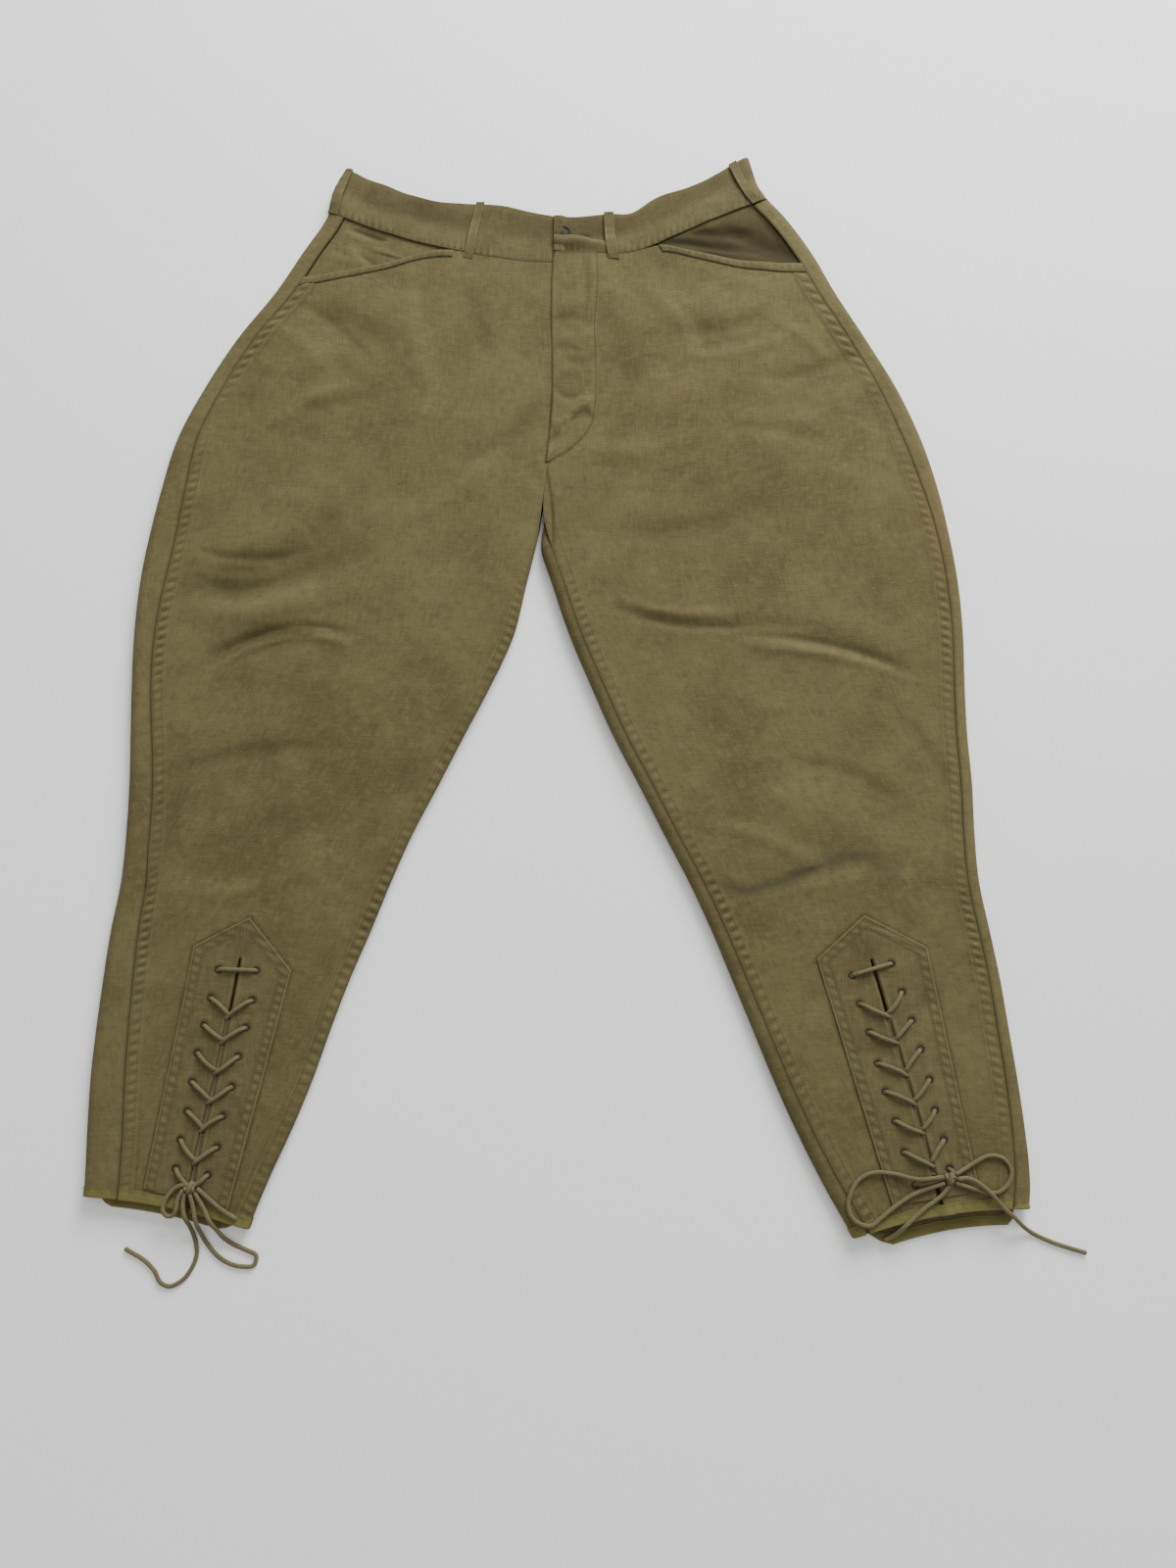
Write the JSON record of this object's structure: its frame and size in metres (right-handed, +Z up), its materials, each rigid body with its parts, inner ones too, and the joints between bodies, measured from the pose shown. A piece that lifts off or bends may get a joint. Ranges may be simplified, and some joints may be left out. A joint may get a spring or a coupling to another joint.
{
  "type": "riding breeches",
  "caption": "Full-thighed cotton riding breeches laid flat front up, with a fly, slant pockets, belt loops and calves that lace up over slits",
  "frame": {"origin": "on the surface under the middle of the breeches, without their free laces", "axes": "+Y from the hems to the waist, +X to the viewer's right, +Z up off the surface"},
  "size_m": [0.8372, 1.083, 0.0212],
  "materials": {
    "olive_twill": "worn matte cotton twill",
    "olive_twill_light": "worn matte cotton twill, paler at its edges",
    "mustard_tape": "matte cotton tape",
    "lace_cotton": "matte braided cotton",
    "button_metal": "dark aged metal"
  },
  "bodies": {
    "root": {"back_left": "olive_twill", "front_left": "olive_twill", "waistband_left": "olive_twill_light", "pocket_facing_left": "olive_twill", "pocket_welt_left": "olive_twill_light", "lacing_panel_left": "olive_twill_light", "hem_tape_front_left_inner": "mustard_tape", "hem_tape_front_left_outer": "mustard_tape", "hem_tape_back_left": "mustard_tape", "belt_loop_front_left": "olive_twill_light", "belt_loop_side_left": "olive_twill_light", "lace_knot_left": "lace_cotton", "lace_loop_left_inner": "lace_cotton", "lace_loop_left_outer": "lace_cotton", "lace_end_left_inner": "lace_cotton", "lace_end_left_outer": "lace_cotton", "lace_rung_left_1": "lace_cotton", "lace_rung_left_2": "lace_cotton", "lace_rung_left_3": "lace_cotton", "lace_rung_left_4": "lace_cotton", "lace_rung_left_5": "lace_cotton", "lace_rung_left_6": "lace_cotton", "lace_rung_left_7": "lace_cotton", "lace_rung_left_8": "lace_cotton", "back_right": "olive_twill", "front_right": "olive_twill", "waistband_right": "olive_twill_light", "pocket_facing_right": "olive_twill", "pocket_welt_right": "olive_twill_light", "lacing_panel_right": "olive_twill_light", "hem_tape_front_right_inner": "mustard_tape", "hem_tape_front_right_outer": "mustard_tape", "hem_tape_back_right": "mustard_tape", "belt_loop_front_right": "olive_twill_light", "belt_loop_side_right": "olive_twill_light", "lace_knot_right": "lace_cotton", "lace_loop_right_inner": "lace_cotton", "lace_loop_right_outer": "lace_cotton", "lace_end_right_inner": "lace_cotton", "lace_end_right_outer": "lace_cotton", "lace_rung_right_1": "lace_cotton", "lace_rung_right_2": "lace_cotton", "lace_rung_right_3": "lace_cotton", "lace_rung_right_4": "lace_cotton", "lace_rung_right_5": "lace_cotton", "lace_rung_right_6": "lace_cotton", "lace_rung_right_7": "lace_cotton", "lace_rung_right_8": "lace_cotton", "waistband_back": "olive_twill_light", "fly_placket": "olive_twill", "waist_button": "button_metal"}
  },
  "joints": []
}
